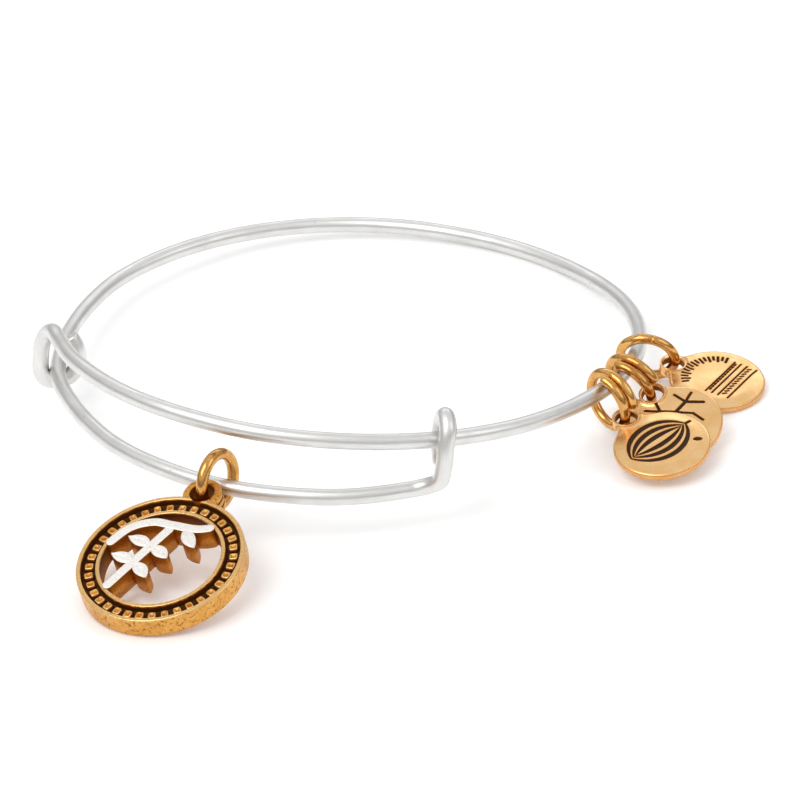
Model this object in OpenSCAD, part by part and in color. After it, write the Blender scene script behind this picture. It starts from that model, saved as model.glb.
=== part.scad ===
// Charm bangle. One round wire runs one and a quarter turns around the wrist, and each end is bent
// into a loop that hooks over the other strand. A large openwork charm hangs in front, and three
// small engraved tags hang on the right. The bangle lies at rest on a flat surface: Z is up from
// that surface, and the origin is below the middle of the hoop.

/* [Bangle wire] */
// Diameter of the hoop at the middle of its wire
hoop_d = 60; // [55:0.5:65]
// Thickness of the hoop's wire
wire_d = 1.6; // [1.4:0.05:1.8]
// Height of the upper strand above the lower one where they overlap
strand_rise = 6.8; // [6:0.1:7.6]
// Clearance between an end loop and the strand inside it
loop_gap = 0.15; // [0.1:0.05:0.3]

/* [Openwork charm] */
// Diameter of the large charm
charm_d = 16.4; // [14:0.1:18]
// Thickness of the large charm
charm_t = 2.2; // [1.8:0.1:2.6]
// Width of the lip around the edge
outer_lip = 0.45; // [0.3:0.05:0.6]
// Width of the channel that holds the studs
channel_w = 1.45; // [1.2:0.05:1.7]
// Width of the lip around the opening
inner_lip = 0.4; // [0.3:0.05:0.5]
// Depth of the channel
channel_deep = 0.8; // [0.6:0.05:1.1]
// Number of studs in the channel
stud_count = 36; // [24:1:40]
// Height of a stud above the channel's floor
stud_h = 0.4; // [0.2:0.05:0.55]
// Width of the sprig's stems
stem_w = 1; // [0.6:0.05:1.2]
// Width of the sprig's leaves
leaf_w = 1.4; // [1:0.05:1.6]
// Wall of the charm's bail around its hole
bail_wall = 0.7; // [0.6:0.05:0.9]
// Depth of the two grooves around the bail
bail_groove = 0.15; // [0.1:0.05:0.25]
// Play of the jump ring in the bail, on each side
bail_play = 0.64; // [0.5:0.02:0.7]

/* [Tags] */
// Diameter of a small tag
tag_d = 9.5; // [8.6:0.1:10.4]
// Thickness of a small tag
tag_t = 0.9; // [0.7:0.05:1.1]
// Depth of the engraved lines
engrave_deep = 0.12; // [0.08:0.02:0.2]
// Width of the engraved lines
engrave_w = 0.26; // [0.2:0.02:0.34]
// Height of a tag's collar
collar_h = 1.05; // [1:0.05:1.3]
// Wall of a tag's collar around its hole
collar_wall = 0.34; // [0.32:0.02:0.46]
// Flare of a collar's hole at both of its ends
collar_flare = 0.2; // [0.14:0.02:0.24]
// Radius of the hollows where a collar's neck meets its disc
neck_hollow = 1.2; // [0.6:0.1:1.6]
// Play of a jump ring in a collar, on each side
collar_play = 0.52; // [0.48:0.02:0.6]
// Clearance between tags that lie on each other
stack_gap = 0.2; // [0.14:0.02:0.3]

/* [Jump rings] */
// Wire of the large jump ring
charm_ring_wire = 1.15; // [1:0.05:1.3]
// Free room inside the large jump ring
charm_ring_room = 1.8; // [1.6:0.05:2]
// Wire of the small jump rings
tag_ring_wire = 1; // [0.85:0.05:1.1]
// Free room inside the plain small jump ring
plain_ring_room = 2.5; // [2.3:0.05:2.7]
// Free room inside the two wound jump rings
wound_ring_room = 2.6; // [2.4:0.05:2.8]
// Turns of wire in the two wound jump rings
coil_turns = 1.22; // [1.1:0.01:1.26]
// Clearance between a jump ring and the hoop's wire
ring_gap = 0.24; // [0.16:0.01:0.3]
// Clearance between the two ends of a wound jump ring
lap_gap = 0.1; // [0.06:0.01:0.14]

/* [Hidden] */
$fn = 64;

SILVER = [0.86, 0.86, 0.85];
GOLD = [0.84, 0.68, 0.42];
PALE_GOLD = [0.90, 0.76, 0.52];

wire_sides = 12;
arc_step = 1.7;
bend_step = 0.5;
longest_bend = 4;
hoop_r = hoop_d / 2;
loop_step = wire_d + loop_gap;

// How the hoop lies: its lean, the side that is low, and its turn about the vertical
hoop_lean = 5.7;
hoop_low_side = 38;
hoop_turn = -2.4;

// Course of the wire between its loops: angle, share of the hoop's radius, share of the rise
COURSE = [
    [-78, 1.01, 0.05],
    [-88, 1.015, 0.02],
    [-100, 1.01, 0.015],
    [-112, 1.005, 0.025],
    [-124, 0.985, 0.035],
    [-136, 0.965, 0.035],
    [-148, 0.942, 0.04],
    [-160, 0.93, 0.035],
    [-172, 0.929, 0.01],
    [-184, 0.922, -0.01],
    [-196, 0.932, -0.035],
    [-208, 0.955, -0.035],
    [-220, 0.988, -0.02],
    [-235, 1.003, 0.05],
    [-255, 1.02, 0.1],
    [-278, 1.022, 0.135],
    [-300, 1.02, 0.145],
    [-322, 1.02, 0.175],
    [-345, 1.014, 0.305],
    [-370, 1.005, 0.44],
    [-390, 0.998, 0.56],
    [-410, 0.999, 0.655],
    [-431, 1.003, 0.775],
    [-448, 1.002, 0.865],
    [-464, 1, 0.935],
    [-480, 0.99, 0.985],
    [-495, 0.974, 0.978],
    [-505, 0.96, 0.95],
    [-515, 0.95, 0.9],
    [-524, 0.94, 0.845],
];

// Loop at the wire's first end, around the upper strand: angle, steps out from the strand,
// share of the way up from the lower strand, steps above that
FIRST_LOOP = [
    [-68.9, -0.8, 0, 1],
    [-68.8, -1, 0.5, 0],
    [-68.7, -1, 1, 0],
    [-68.7, -0.72, 1, 0.85],
    [-69, 0, 1, 1.33],
    [-69.5, 0.72, 1, 0.9],
    [-70.2, 1, 1, 0.05],
    [-70.7, 1, 0.5, 0],
    [-71.1, 0.92, 0.16, 0.35],
    [-72.4, 0.45, 0.02, 0.28],
    [-75, 0.08, 0, 0.04],
];

// Hook at the wire's last end, around the lower strand: angle, steps out from the strand,
// share of the rise, steps above that
LAST_HOOK = [
    [-530, 0.4, 0.8, 0],
    [-532.3, 0.6, 0.7, 0],
    [-534, 0.9, 0.48, 0],
    [-534.8, 1, 0.22, 0],
    [-535.6, 0.97, 0, -0.2],
    [-537, 0.66, 0, -0.82],
    [-538.2, 0, 0, -1.05],
    [-539.2, -0.68, 0, -0.84],
    [-539.8, -1.08, 0, 0],
    [-540, -1.05, 0.18, 0],
    [-540.2, -0.72, 0.34, 0],
];
first_low = 0.05;
first_high = 0.77;
looped_share = 1.003;
hooked_share = 0.924;

// Small vector helpers
function unit(v) = v / norm(v);
function square_to(v, axis) = unit(v - axis * (v * axis) / (axis * axis));
function turned(p, a) = [p[0] * cos(a) - p[1] * sin(a), p[0] * sin(a) + p[1] * cos(a), p[2]];
function heading(a) = [cos(a), sin(a), 0];
function leaning(p, lean, low_side) =
    let (k = heading(low_side + 90))
    p * cos(lean) + cross(k, p) * sin(lean) + k * (k * p) * (1 - cos(lean));

// The whole course in angle, radius and height
WIRE_COURSE = concat(
    [for (s = FIRST_LOOP)
        [s[0],
         hoop_r * looped_share + s[1] * loop_step,
         strand_rise * (first_low + s[2] * (first_high - first_low)) + s[3] * loop_step]],
    [for (s = COURSE) [s[0], hoop_r * s[1], strand_rise * s[2]]],
    [for (s = LAST_HOOK)
        [s[0], hoop_r * hooked_share + s[1] * loop_step, strand_rise * s[2] + s[3] * loop_step]]);

function stretch(a, b) = norm([(b[0] - a[0]) * PI / 180 * (a[1] + b[1]) / 2, b[1] - a[1], b[2] - a[2]]);
WIRE_SPANS = [for (i = [0 : len(WIRE_COURSE) - 2]) stretch(WIRE_COURSE[i], WIRE_COURSE[i + 1])];
wire_last = len(WIRE_COURSE) - 1;
function wire_slope(i) =
    i == 0 ? (WIRE_COURSE[1] - WIRE_COURSE[0]) / WIRE_SPANS[0] :
    i == wire_last ? (WIRE_COURSE[i] - WIRE_COURSE[i - 1]) / WIRE_SPANS[i - 1] :
    let (before = WIRE_SPANS[i - 1], after = WIRE_SPANS[i])
    ((WIRE_COURSE[i] - WIRE_COURSE[i - 1]) * after / before
     + (WIRE_COURSE[i + 1] - WIRE_COURSE[i]) * before / after) / (before + after);
function eased(i, u) =
    let (h = WIRE_SPANS[i])
    WIRE_COURSE[i] * (1 + 2 * u) * pow(1 - u, 2) + wire_slope(i) * h * u * pow(1 - u, 2)
    + WIRE_COURSE[i + 1] * pow(u, 2) * (3 - 2 * u) + wire_slope(i + 1) * h * pow(u, 2) * (u - 1);
function steps_in(span) = max(1, round(span / (span > longest_bend ? arc_step : bend_step)));
WIRE_ROUTE = concat(
    [for (i = [0 : wire_last - 1])
        for (j = [0 : steps_in(WIRE_SPANS[i]) - 1]) eased(i, j / steps_in(WIRE_SPANS[i]))],
    [WIRE_COURSE[wire_last]]);

// The hoop is leaned over and lifted until its lowest point touches the surface
function leaned(s) = leaning(turned([s[1] * cos(s[0]), s[1] * sin(s[0]), s[2]], hoop_turn),
                             hoop_lean, hoop_low_side);
WIRE_LEANED = [for (s = WIRE_ROUTE) leaned(s)];
hoop_lift = wire_d / 2 - min([for (p = WIRE_LEANED) p[2]]);
WIRE_POINTS = [for (p = WIRE_LEANED) p + [0, 0, hoop_lift]];

// Point of the wire's middle line at an angle of the single strand
function wire_at(a) =
    let (nearby = [for (s = WIRE_ROUTE) if (abs(s[0] - a) < 20) s])
    leaned([a, lookup(a, [for (s = nearby) [s[0], s[1]]]), lookup(a, [for (s = nearby) [s[0], s[2]]])])
    + [0, 0, hoop_lift];

// A jump ring stands on its hole point and leans on the hoop's wire inside it
charm_ring_r = (wire_d + bail_wall + charm_ring_room + charm_ring_wire) / 2;
plain_ring_r = (wire_d + collar_wall + plain_ring_room + tag_ring_wire) / 2;
wound_ring_r = (wire_d + collar_wall + wound_ring_room + tag_ring_wire) / 2;
function reach_in(r, ring_wire) = r - (ring_wire + wire_d) / 2 - ring_gap;
function ring_axis(hole, on_wire, hint) = square_to(hint, unit(on_wire - hole));
function ring_inward(hole, on_wire, hint, r, ring_wire) =
    let (far = norm(on_wire - hole),
         towards = (on_wire - hole) / far,
         share = (far * far + r * r - pow(reach_in(r, ring_wire), 2)) / (2 * far * r),
         swing = acos(min(1, share)))
    towards * cos(swing) + cross(ring_axis(hole, on_wire, hint), towards) * sin(swing);

// Place of the large charm: bail hole, direction to the charm's middle, and the tilt at which
// its rim touches the surface
bail_r = charm_ring_wire / 2 + bail_play + bail_wall;
charm_reach = charm_d / 2 + 0.7;
charm_edge = 0.2;
charm_wire_angle = -110.7;
charm_out = -125;
charm_heading = -120;
bail_clearance = 0.25;
charm_on_wire = wire_at(charm_wire_angle);
charm_hole = charm_on_wire + heading(charm_out) * (wire_d / 2 + bail_r + bail_clearance);
charm_span = charm_reach + charm_d / 2 - charm_edge;
charm_tilt = asin(charm_hole[2] / norm([charm_span, charm_t / 2])) - atan(charm_t / 2 / charm_span);
charm_ring_hint = [0.818, -0.573, 0.047];
charm_ring_cut = 178;

// Places of the tags: angle of the wire, direction out to the hole, direction to the middle,
// tilt, side that is low, how far the hole lies beyond the edge, how far the jump ring is pulled
// out as a share of its play on the wire, and the jump ring's radius
LEAF = [-388.5, -50, -54, 11, -105, 0.5, 0.85, wound_ring_r];
BRANCH = [-380, -38, -68, 20, -112, -0.3, 0.86, wound_ring_r];
BAND = [-368.5, -5, -30, 9.5, -52, 0.1, 1, plain_ring_r];
LEAF_HINT = [-0.74, -0.66, -0.13];
BRANCH_HINT = [-0.6, -0.74, -0.3];
BAND_HINT = [-0.25, -0.91, -0.33];
plain_ring_cut = 284;
tag_edge = 0.25;
function tag_reach(tag) = tag_d / 2 + tag[5];
function tag_pose(tag, p) = leaning(turned(p, tag[2]), tag[3], tag[4]);

// Heights of the tags' undersides at their middles. The band tag and the branch tag touch the
// surface with their low edges, and the leaf tag's high edge lies on the middle of the branch tag.
function resting_under(tag) = (tag_d / 2 - tag_edge) * sin(tag[3]);
band_under = resting_under(BAND);
branch_under = resting_under(BRANCH);
leaf_under = branch_under + tag_t / cos(BRANCH[3]) + stack_gap - tag_d / 2 * sin(LEAF[3]);

function tag_on_wire(tag) = wire_at(tag[0]);
function tag_hole(tag, under) =
    let (on_wire = tag_on_wire(tag),
         height = under - tag_pose(tag, [tag_reach(tag), 0, 0])[2] + tag_pose(tag, [0, 0, collar_h / 2])[2],
         far = tag[7] + tag[6] * reach_in(tag[7], tag_ring_wire),
         out = sqrt(pow(far, 2) - pow(on_wire[2] - height, 2)))
    [on_wire[0] + out * cos(tag[1]), on_wire[1] + out * sin(tag[1]), height];

function place(origin, x, z) =
    let (y = cross(z, x))
    [[x[0], y[0], z[0], origin[0]],
     [x[1], y[1], z[1], origin[1]],
     [x[2], y[2], z[2], origin[2]],
     [0, 0, 0, 1]];

// Round bar along a list of points, with a small bevel at each end
module bar(points, d, hint) {
    bevel = 0.15 * d;
    last = len(points) - 1;
    aims = [for (i = [0 : last]) unit(points[min(i + 1, last)] - points[max(i - 1, 0)])];
    middles = concat([points[0] - aims[0] * bevel], points, [points[last] + aims[last] * bevel]);
    ways = concat([aims[0]], aims, [aims[last]]);
    count = len(middles);
    sides = [for (i = 0, u = square_to(hint, ways[0]);
                  i < count;
                  u = i + 1 < count ? square_to(u, ways[i + 1]) : u, i = i + 1) u];
    rings = [for (i = [0 : count - 1])
        let (r = i == 0 || i == count - 1 ? d / 2 - bevel : d / 2, v = cross(ways[i], sides[i]))
        for (k = [0 : wire_sides - 1])
            let (a = k * 360 / wire_sides) middles[i] + (sides[i] * cos(a) + v * sin(a)) * r];
    walls = [for (i = [0 : count - 2])
        for (k = [0 : wire_sides - 1])
            let (here = i * wire_sides, next = here + wire_sides, m = (k + 1) % wire_sides)
            for (face = [[here + k, next + k, next + m], [here + k, next + m, here + m]]) face];
    ends = [[for (k = [0 : wire_sides - 1]) k],
            [for (k = [wire_sides - 1 : -1 : 0]) (count - 1) * wire_sides + k]];
    polyhedron(points = rings, faces = concat(walls, ends));
}

module bangle_wire() {
    color(SILVER)
    bar(WIRE_POINTS, wire_d, [1, 1, 0]);
}

// Plain jump ring with a narrow cut, in the XY plane
module cut_ring(r, ring_wire, cut_at) {
    cut_angle = 4;
    rotate([0, 0, cut_at])
    rotate_extrude(angle = 360 - cut_angle)
    translate([r, 0])
    circle(d = ring_wire);
}

module charm_jump_ring() {
    hint = charm_ring_hint;
    inward = ring_inward(charm_hole, charm_on_wire, hint, charm_ring_r, charm_ring_wire);
    axis = ring_axis(charm_hole, charm_on_wire, hint);
    color(GOLD)
    multmatrix(place(charm_hole + inward * charm_ring_r, inward, axis))
    cut_ring(charm_ring_r, charm_ring_wire, charm_ring_cut);
}

// Wound jump ring, whose two ends lie side by side on the limb above its tag
module wound_ring(tag, under, hint) {
    hole = tag_hole(tag, under);
    on_wire = tag_on_wire(tag);
    inward = ring_inward(hole, on_wire, hint, wound_ring_r, tag_ring_wire);
    axis = ring_axis(hole, on_wire, hint);
    across = cross(axis, inward);
    middle = hole + inward * wound_ring_r;
    pitch = tag_ring_wire + lap_gap;
    lap_middle = -72;
    steps = 40;
    color(GOLD)
    bar([for (i = [0 : steps])
            let (a = lap_middle + 180 + (i / steps - 0.5) * 360 * coil_turns)
            middle + (across * sin(a) - inward * cos(a)) * wound_ring_r
            - axis * pitch * (a - 80) / 360],
        tag_ring_wire, axis);
}

module tag_jump_ring_1() {
    wound_ring(LEAF, leaf_under, LEAF_HINT);
}

module tag_jump_ring_2() {
    wound_ring(BRANCH, branch_under, BRANCH_HINT);
}

module tag_jump_ring_3() {
    hole = tag_hole(BAND, band_under);
    on_wire = tag_on_wire(BAND);
    inward = ring_inward(hole, on_wire, BAND_HINT, plain_ring_r, tag_ring_wire);
    axis = ring_axis(hole, on_wire, BAND_HINT);
    color(GOLD)
    multmatrix(place(hole + inward * plain_ring_r, inward, axis))
    cut_ring(plain_ring_r, tag_ring_wire, plain_ring_cut);
}

// Flat bar with round ends between two points of a face
module stroke(from, to, w) {
    way = to - from;
    translate(from)
    rotate([0, 0, atan2(way[1], way[0])])
    union() {
        translate([0, -w / 2])
        square([norm(way), w]);
        circle(d = w);
        translate([norm(way), 0])
        circle(d = w);
    }
}

// Pointed leaf from one point to another
module leaf_blade(from, to, w) {
    way = to - from;
    long = norm(way);
    bow = (long * long + w * w) / (4 * w);
    translate(from)
    rotate([0, 0, atan2(way[1], way[0])])
    translate([long / 2, 0])
    intersection() {
        translate([0, bow - w / 2])
        circle(r = bow);
        translate([0, w / 2 - bow])
        circle(r = bow);
    }
}

// Sprig in the charm's opening, in shares of the opening's radius, with X towards the bail
SPRIG_BRANCH = [[0.84, -0.58], [0.73, -0.3], [0.71, 0.15], [0.69, 0.48], [0.47, 0.8], [0.04, 1]];
SPRIG_STEM = [[0.68, 0.12], [-0.08, 0.36], [-0.86, 0.6]];
SPRIG_LEAVES = [
    [[0.2, 0.28], [0.3, 0.74]],
    [[0.2, 0.28], [0.02, -0.12]],
    [[-0.2, 0.4], [-0.12, 0.84]],
    [[-0.2, 0.4], [-0.46, 0.02]],
    [[0.72, -0.1], [0.34, -0.46]],
];

module sprig(opening_r) {
    for (line = [SPRIG_BRANCH, SPRIG_STEM])
        for (i = [0 : len(line) - 2])
            stroke(line[i] * opening_r, line[i + 1] * opening_r, stem_w);
    for (leaf = SPRIG_LEAVES)
        leaf_blade(leaf[0] * opening_r, leaf[1] * opening_r, leaf_w);
}

module openwork_charm() {
    rim = charm_d / 2;
    channel_out = rim - outer_lip;
    channel_in = channel_out - channel_w;
    opening = channel_in - inner_lip;
    half = charm_t / 2;
    floor_z = half - channel_deep;
    ridge = charm_t / 3;
    bury = 0.1;
    color(PALE_GOLD)
    translate(charm_hole)
    rotate([0, charm_tilt, charm_heading])
    difference() {
        union() {
            translate([charm_reach, 0, 0])
            rotate([0, 0, 180]) {
                rotate_extrude()
                polygon([[opening, -half], [rim - charm_edge, -half], [rim, charm_edge - half],
                         [rim, half - charm_edge / 2], [rim - charm_edge / 2, half],
                         [channel_out, half], [channel_out, floor_z],
                         [channel_in, floor_z], [channel_in, half], [opening, half]]);
                for (i = [0 : stud_count - 1])
                    rotate([0, 0, i * 360 / stud_count])
                    translate([channel_in + channel_w * 0.19, -channel_w * 0.26, floor_z - bury])
                    cube([channel_w * 0.62, channel_w * 0.52, stud_h + bury]);
                translate([0, 0, bury - half])
                linear_extrude(charm_t)
                intersection() {
                    sprig(opening);
                    circle(r = opening + inner_lip / 2);
                }
            }
            difference() {
                rotate_extrude()
                polygon([[0, -half], [bail_r, -half],
                         [bail_r, -half + ridge - bail_groove], [bail_r - bail_groove, -half + ridge],
                         [bail_r, -half + ridge + bail_groove], [bail_r, half - ridge - bail_groove],
                         [bail_r - bail_groove, half - ridge], [bail_r, half - ridge + bail_groove],
                         [bail_r, half], [0, half]]);
                translate([charm_reach, 0, -charm_t])
                cylinder(r = channel_out + outer_lip / 2, h = 2 * charm_t);
            }
        }
        translate([0, 0, -charm_t])
        cylinder(r = charm_ring_wire / 2 + bail_play, h = 2 * charm_t);
    }
}

// Outline of the neck between a tag's collar and its disc, hollow on both sides
module neck(reach, collar_r, disc_r) {
    near = collar_r + neck_hollow;
    x = (near * near - pow(disc_r + neck_hollow, 2) + reach * reach) / (2 * reach);
    y = sqrt(near * near - x * x);
    difference() {
        polygon([[0, 0], [x, y], [reach, 0], [x, -y]]);
        for (side = [-1, 1])
            translate([x, side * y])
            circle(r = neck_hollow);
    }
}

// Blank of a tag: bevelled disc, neck and collar, with the hole's foot at the origin. The children
// are cut into the face, with X towards the bail.
module tag_blank(tag, under) {
    r = tag_d / 2;
    hole_r = tag_ring_wire / 2 + collar_play;
    wide_r = hole_r + collar_flare;
    collar_r = hole_r + collar_wall;
    bevel = 0.3 * collar_wall;
    foot = tag_hole(tag, under) - tag_pose(tag, [0, 0, collar_h / 2]);
    color(PALE_GOLD)
    multmatrix(place(foot, tag_pose(tag, [1, 0, 0]), tag_pose(tag, [0, 0, 1])))
    difference() {
        union() {
            translate([tag_reach(tag), 0, 0])
            rotate_extrude()
            polygon([[0, 0], [r - tag_edge, 0], [r - 0.3 * tag_edge, 0.3 * tag_edge], [r, tag_edge],
                     [r, tag_t - tag_edge], [r - 0.3 * tag_edge, tag_t - 0.3 * tag_edge],
                     [r - tag_edge, tag_t], [0, tag_t]]);
            rotate_extrude()
            polygon([[0, 0], [collar_r - bevel, 0], [collar_r, bevel],
                     [collar_r, collar_h - bevel], [collar_r - bevel, collar_h], [0, collar_h]]);
            linear_extrude(tag_t)
            neck(tag_reach(tag), collar_r, r);
        }
        rotate_extrude()
        polygon([[0, -collar_h], [wide_r, -collar_h], [wide_r, 0], [hole_r, collar_flare],
                 [hole_r, collar_h - collar_flare], [wide_r, collar_h], [wide_r, 2 * collar_h],
                 [0, 2 * collar_h]]);
        translate([tag_reach(tag), 0, tag_t - engrave_deep])
        rotate([0, 0, 180])
        linear_extrude(collar_h)
        children();
    }
}

// Leaf drawn as dark bands between long veins that run from tip to tip, in the direction of X
module veined_leaf(long, wide, line_w) {
    tip = [long / 2, 0];
    for (band = [[1, 0.8, 0.96], [0.66, 0.46, 0.88], [0.32, 0.12, 0.8]])
        difference() {
            leaf_blade(-tip * (band[2] + 0.04), tip * (band[2] + 0.04), wide * band[0]);
            leaf_blade(-tip * band[2], tip * band[2], wide * band[1]);
        }
    stroke(tip, tip * 1.14, line_w);
}

module leaf_tag() {
    r = tag_d / 2;
    tag_blank(LEAF, leaf_under) {
        translate([0.08, 0.02] * r)
        rotate([0, 0, -90])
        veined_leaf(1.5 * r, 1.16 * r, 1.15 * engrave_w);
        leaf_blade([-0.4, -0.5] * r, [-0.52, -0.66] * r, 0.11 * r);
    }
}

module branch_tag() {
    r = tag_d / 2;
    main = [[0.42, 0.62], [0.28, 0.36], [0.42, 0.1], [0.22, -0.16], [0.34, -0.46], [0.12, -0.76]];
    twigs = [[[0.28, 0.36], [-0.1, 0.5]], [[0.42, 0.1], [0.7, 0.06]], [[0.42, 0.1], [0.62, 0.34]],
             [[0.22, -0.16], [-0.24, 0]], [[-0.24, 0], [-0.5, -0.14]], [[-0.24, 0], [-0.4, 0.24]],
             [[0.34, -0.46], [0.64, -0.36]], [[0.34, -0.46], [0.5, -0.68]], [[0.22, -0.16], [-0.02, -0.44]],
             [[-0.02, -0.44], [-0.3, -0.52]]];
    tag_blank(BRANCH, branch_under) {
        for (i = [0 : len(main) - 2])
            stroke(main[i] * r, main[i + 1] * r, 1.3 * engrave_w);
        for (twig = twigs)
            stroke(twig[0] * r, twig[1] * r, engrave_w);
    }
}

module band_tag() {
    r = tag_d / 2;
    tag_blank(BAND, band_under) {
        for (k = [0 : 15])
            rotate([0, 0, 8 * k - 82])
            stroke([k % 2 == 0 ? 0.58 : 0.63, 0] * r, [0.74, 0] * r, 0.9 * engrave_w);
        for (bar = [[-0.1, 0.14], [-0.42, 0.22]]) {
            for (side = [-1, 1])
                stroke([bar[0] + 0.06 + side * bar[1] / 2, 0.52] * r,
                       [bar[0] - 0.06 + side * bar[1] / 2, -0.68] * r, engrave_w * 0.6);
            for (k = [-6 : 4])
                stroke([bar[0] + 0.01 * k + 0.07 - 0.3 * bar[1], 0.1 * k - 0.02] * r,
                       [bar[0] + 0.01 * k - 0.01 + 0.3 * bar[1], 0.1 * k + 0.03] * r, engrave_w * 0.7);
        }
    }
}

bangle_wire();
charm_jump_ring();
openwork_charm();
tag_jump_ring_1();
tag_jump_ring_2();
tag_jump_ring_3();
leaf_tag();
branch_tag();
band_tag();
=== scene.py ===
"""Looks of the charm bangle: smooth wire, cast and antiqued charm, engraved tags, studio."""

import math
import random

import bpy
import numpy as np
from mathutils import Matrix, Vector


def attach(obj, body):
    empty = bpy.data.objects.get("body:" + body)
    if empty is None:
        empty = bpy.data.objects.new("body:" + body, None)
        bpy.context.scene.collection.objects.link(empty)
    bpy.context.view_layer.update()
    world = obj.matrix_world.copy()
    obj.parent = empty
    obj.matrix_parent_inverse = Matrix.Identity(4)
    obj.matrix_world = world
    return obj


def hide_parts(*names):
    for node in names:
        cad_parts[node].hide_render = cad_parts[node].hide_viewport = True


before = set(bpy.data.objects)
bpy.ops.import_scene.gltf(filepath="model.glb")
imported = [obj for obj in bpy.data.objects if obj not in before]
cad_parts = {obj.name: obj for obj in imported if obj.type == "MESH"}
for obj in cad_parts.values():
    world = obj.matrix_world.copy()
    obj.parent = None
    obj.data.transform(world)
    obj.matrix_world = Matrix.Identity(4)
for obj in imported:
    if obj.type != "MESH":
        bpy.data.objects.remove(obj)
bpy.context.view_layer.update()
MM = 0.001
V = np.array
rng = random.Random(7)

# Sizes of the part, in millimetres and degrees, as its source has them
HOOP_D, WIRE_D, STRAND_RISE, LOOP_GAP = 60, 1.6, 6.8, 0.15
CHARM_D, CHARM_T, OUTER_LIP, CHANNEL_W, INNER_LIP, CHANNEL_DEEP = 16.4, 2.2, 0.45, 1.45, 0.4, 0.8
STUD_COUNT, STUD_H, STEM_W, LEAF_W = 36, 0.4, 1.0, 1.4
BAIL_WALL, BAIL_PLAY, BAIL_GROOVE, BAIL_OUT, BAIL_CLEARANCE = 0.7, 0.64, 0.15, 0.7, 0.25
TAG_D, TAG_T, ENGRAVE_DEEP, ENGRAVE_W = 9.5, 0.9, 0.12, 0.26
COLLAR_H, COLLAR_WALL, COLLAR_FLARE, COLLAR_PLAY = 1.05, 0.34, 0.2, 0.52
STACK_GAP, NECK_HOLLOW = 0.2, 1.2
CHARM_RING_WIRE, CHARM_RING_ROOM, TAG_RING_WIRE = 1.15, 1.8, 1.0
PLAIN_RING_ROOM, WOUND_RING_ROOM, COIL_TURNS, RING_GAP, LAP_GAP = 2.5, 2.6, 1.22, 0.24, 0.1
HOOP_LEAN, HOOP_LOW_SIDE, HOOP_TURN = 5.7, 38, -2.4
CHARM_EDGE, TAG_EDGE = 0.2, 0.25
FIRST_LOW, FIRST_HIGH, LOOPED_SHARE, HOOKED_SHARE = 0.05, 0.77, 1.003, 0.924

HOOP_R = HOOP_D / 2
LOOP_STEP = WIRE_D + LOOP_GAP
RIM_R = CHARM_D / 2
CHANNEL_OUT = RIM_R - OUTER_LIP
CHANNEL_IN = CHANNEL_OUT - CHANNEL_W
OPENING_R = CHANNEL_IN - INNER_LIP
HALF_T = CHARM_T / 2
CHANNEL_FLOOR = HALF_T - CHANNEL_DEEP
HOLE_R = CHARM_RING_WIRE / 2 + BAIL_PLAY
BAIL_R = HOLE_R + BAIL_WALL
TAG_R = TAG_D / 2
COLLAR_IN = TAG_RING_WIRE / 2 + COLLAR_PLAY
COLLAR_R = COLLAR_IN + COLLAR_WALL
CHARM_RING_R = (WIRE_D + BAIL_WALL + CHARM_RING_ROOM + CHARM_RING_WIRE) / 2
PLAIN_RING_R = (WIRE_D + COLLAR_WALL + PLAIN_RING_ROOM + TAG_RING_WIRE) / 2
WOUND_RING_R = (WIRE_D + COLLAR_WALL + WOUND_RING_ROOM + TAG_RING_WIRE) / 2

# Rows of the wire's course: angle, share of the hoop's radius, share of the strands' rise
COURSE = [
    (-78, 1.01, 0.05), (-88, 1.015, 0.02), (-100, 1.01, 0.015), (-112, 1.005, 0.025),
    (-124, 0.985, 0.035), (-136, 0.965, 0.035), (-148, 0.942, 0.04), (-160, 0.93, 0.035),
    (-172, 0.929, 0.01), (-184, 0.922, -0.01), (-196, 0.932, -0.035), (-208, 0.955, -0.035),
    (-220, 0.988, -0.02), (-235, 1.003, 0.05), (-255, 1.02, 0.1), (-278, 1.022, 0.135),
    (-300, 1.02, 0.145), (-322, 1.02, 0.175), (-345, 1.014, 0.305), (-370, 1.005, 0.44),
    (-390, 0.998, 0.56), (-410, 0.999, 0.655), (-431, 1.003, 0.775), (-448, 1.002, 0.865),
    (-464, 1, 0.935), (-480, 0.99, 0.985), (-495, 0.974, 0.978), (-505, 0.96, 0.95),
    (-515, 0.95, 0.9), (-524, 0.94, 0.845),
]
# Loop round the other strand: angle, steps outward, share from the low to the high strand, steps up
FIRST_LOOP = [
    (-68.9, -0.8, 0, 1), (-68.8, -1, 0.5, 0), (-68.7, -1, 1, 0), (-68.7, -0.72, 1, 0.85),
    (-69, 0, 1, 1.33), (-69.5, 0.72, 1, 0.9), (-70.2, 1, 1, 0.05), (-70.7, 1, 0.5, 0),
    (-71.1, 0.92, 0.16, 0.35), (-72.4, 0.45, 0.02, 0.28), (-75, 0.08, 0, 0.04),
]
# Hook round the first strand: angle, steps outward, share of the rise, steps up
LAST_HOOK = [
    (-530, 0.4, 0.8, 0), (-532.3, 0.6, 0.7, 0), (-534, 0.9, 0.48, 0), (-534.8, 1, 0.22, 0),
    (-535.6, 0.97, 0, -0.2), (-537, 0.66, 0, -0.82), (-538.2, 0, 0, -1.05),
    (-539.2, -0.68, 0, -0.84), (-539.8, -1.08, 0, 0), (-540, -1.05, 0.18, 0), (-540.2, -0.72, 0.34, 0),
]
COURSE_STEP, WINDOW = 0.3, 20


# Directions and turns
def unit(v):
    return v / np.linalg.norm(v)


def square_to(v, axis):
    return unit(v - axis * (v @ axis) / (axis @ axis))


def turned(p, a):
    c, s = math.cos(math.radians(a)), math.sin(math.radians(a))
    return V([p[0] * c - p[1] * s, p[0] * s + p[1] * c, p[2]])


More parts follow.
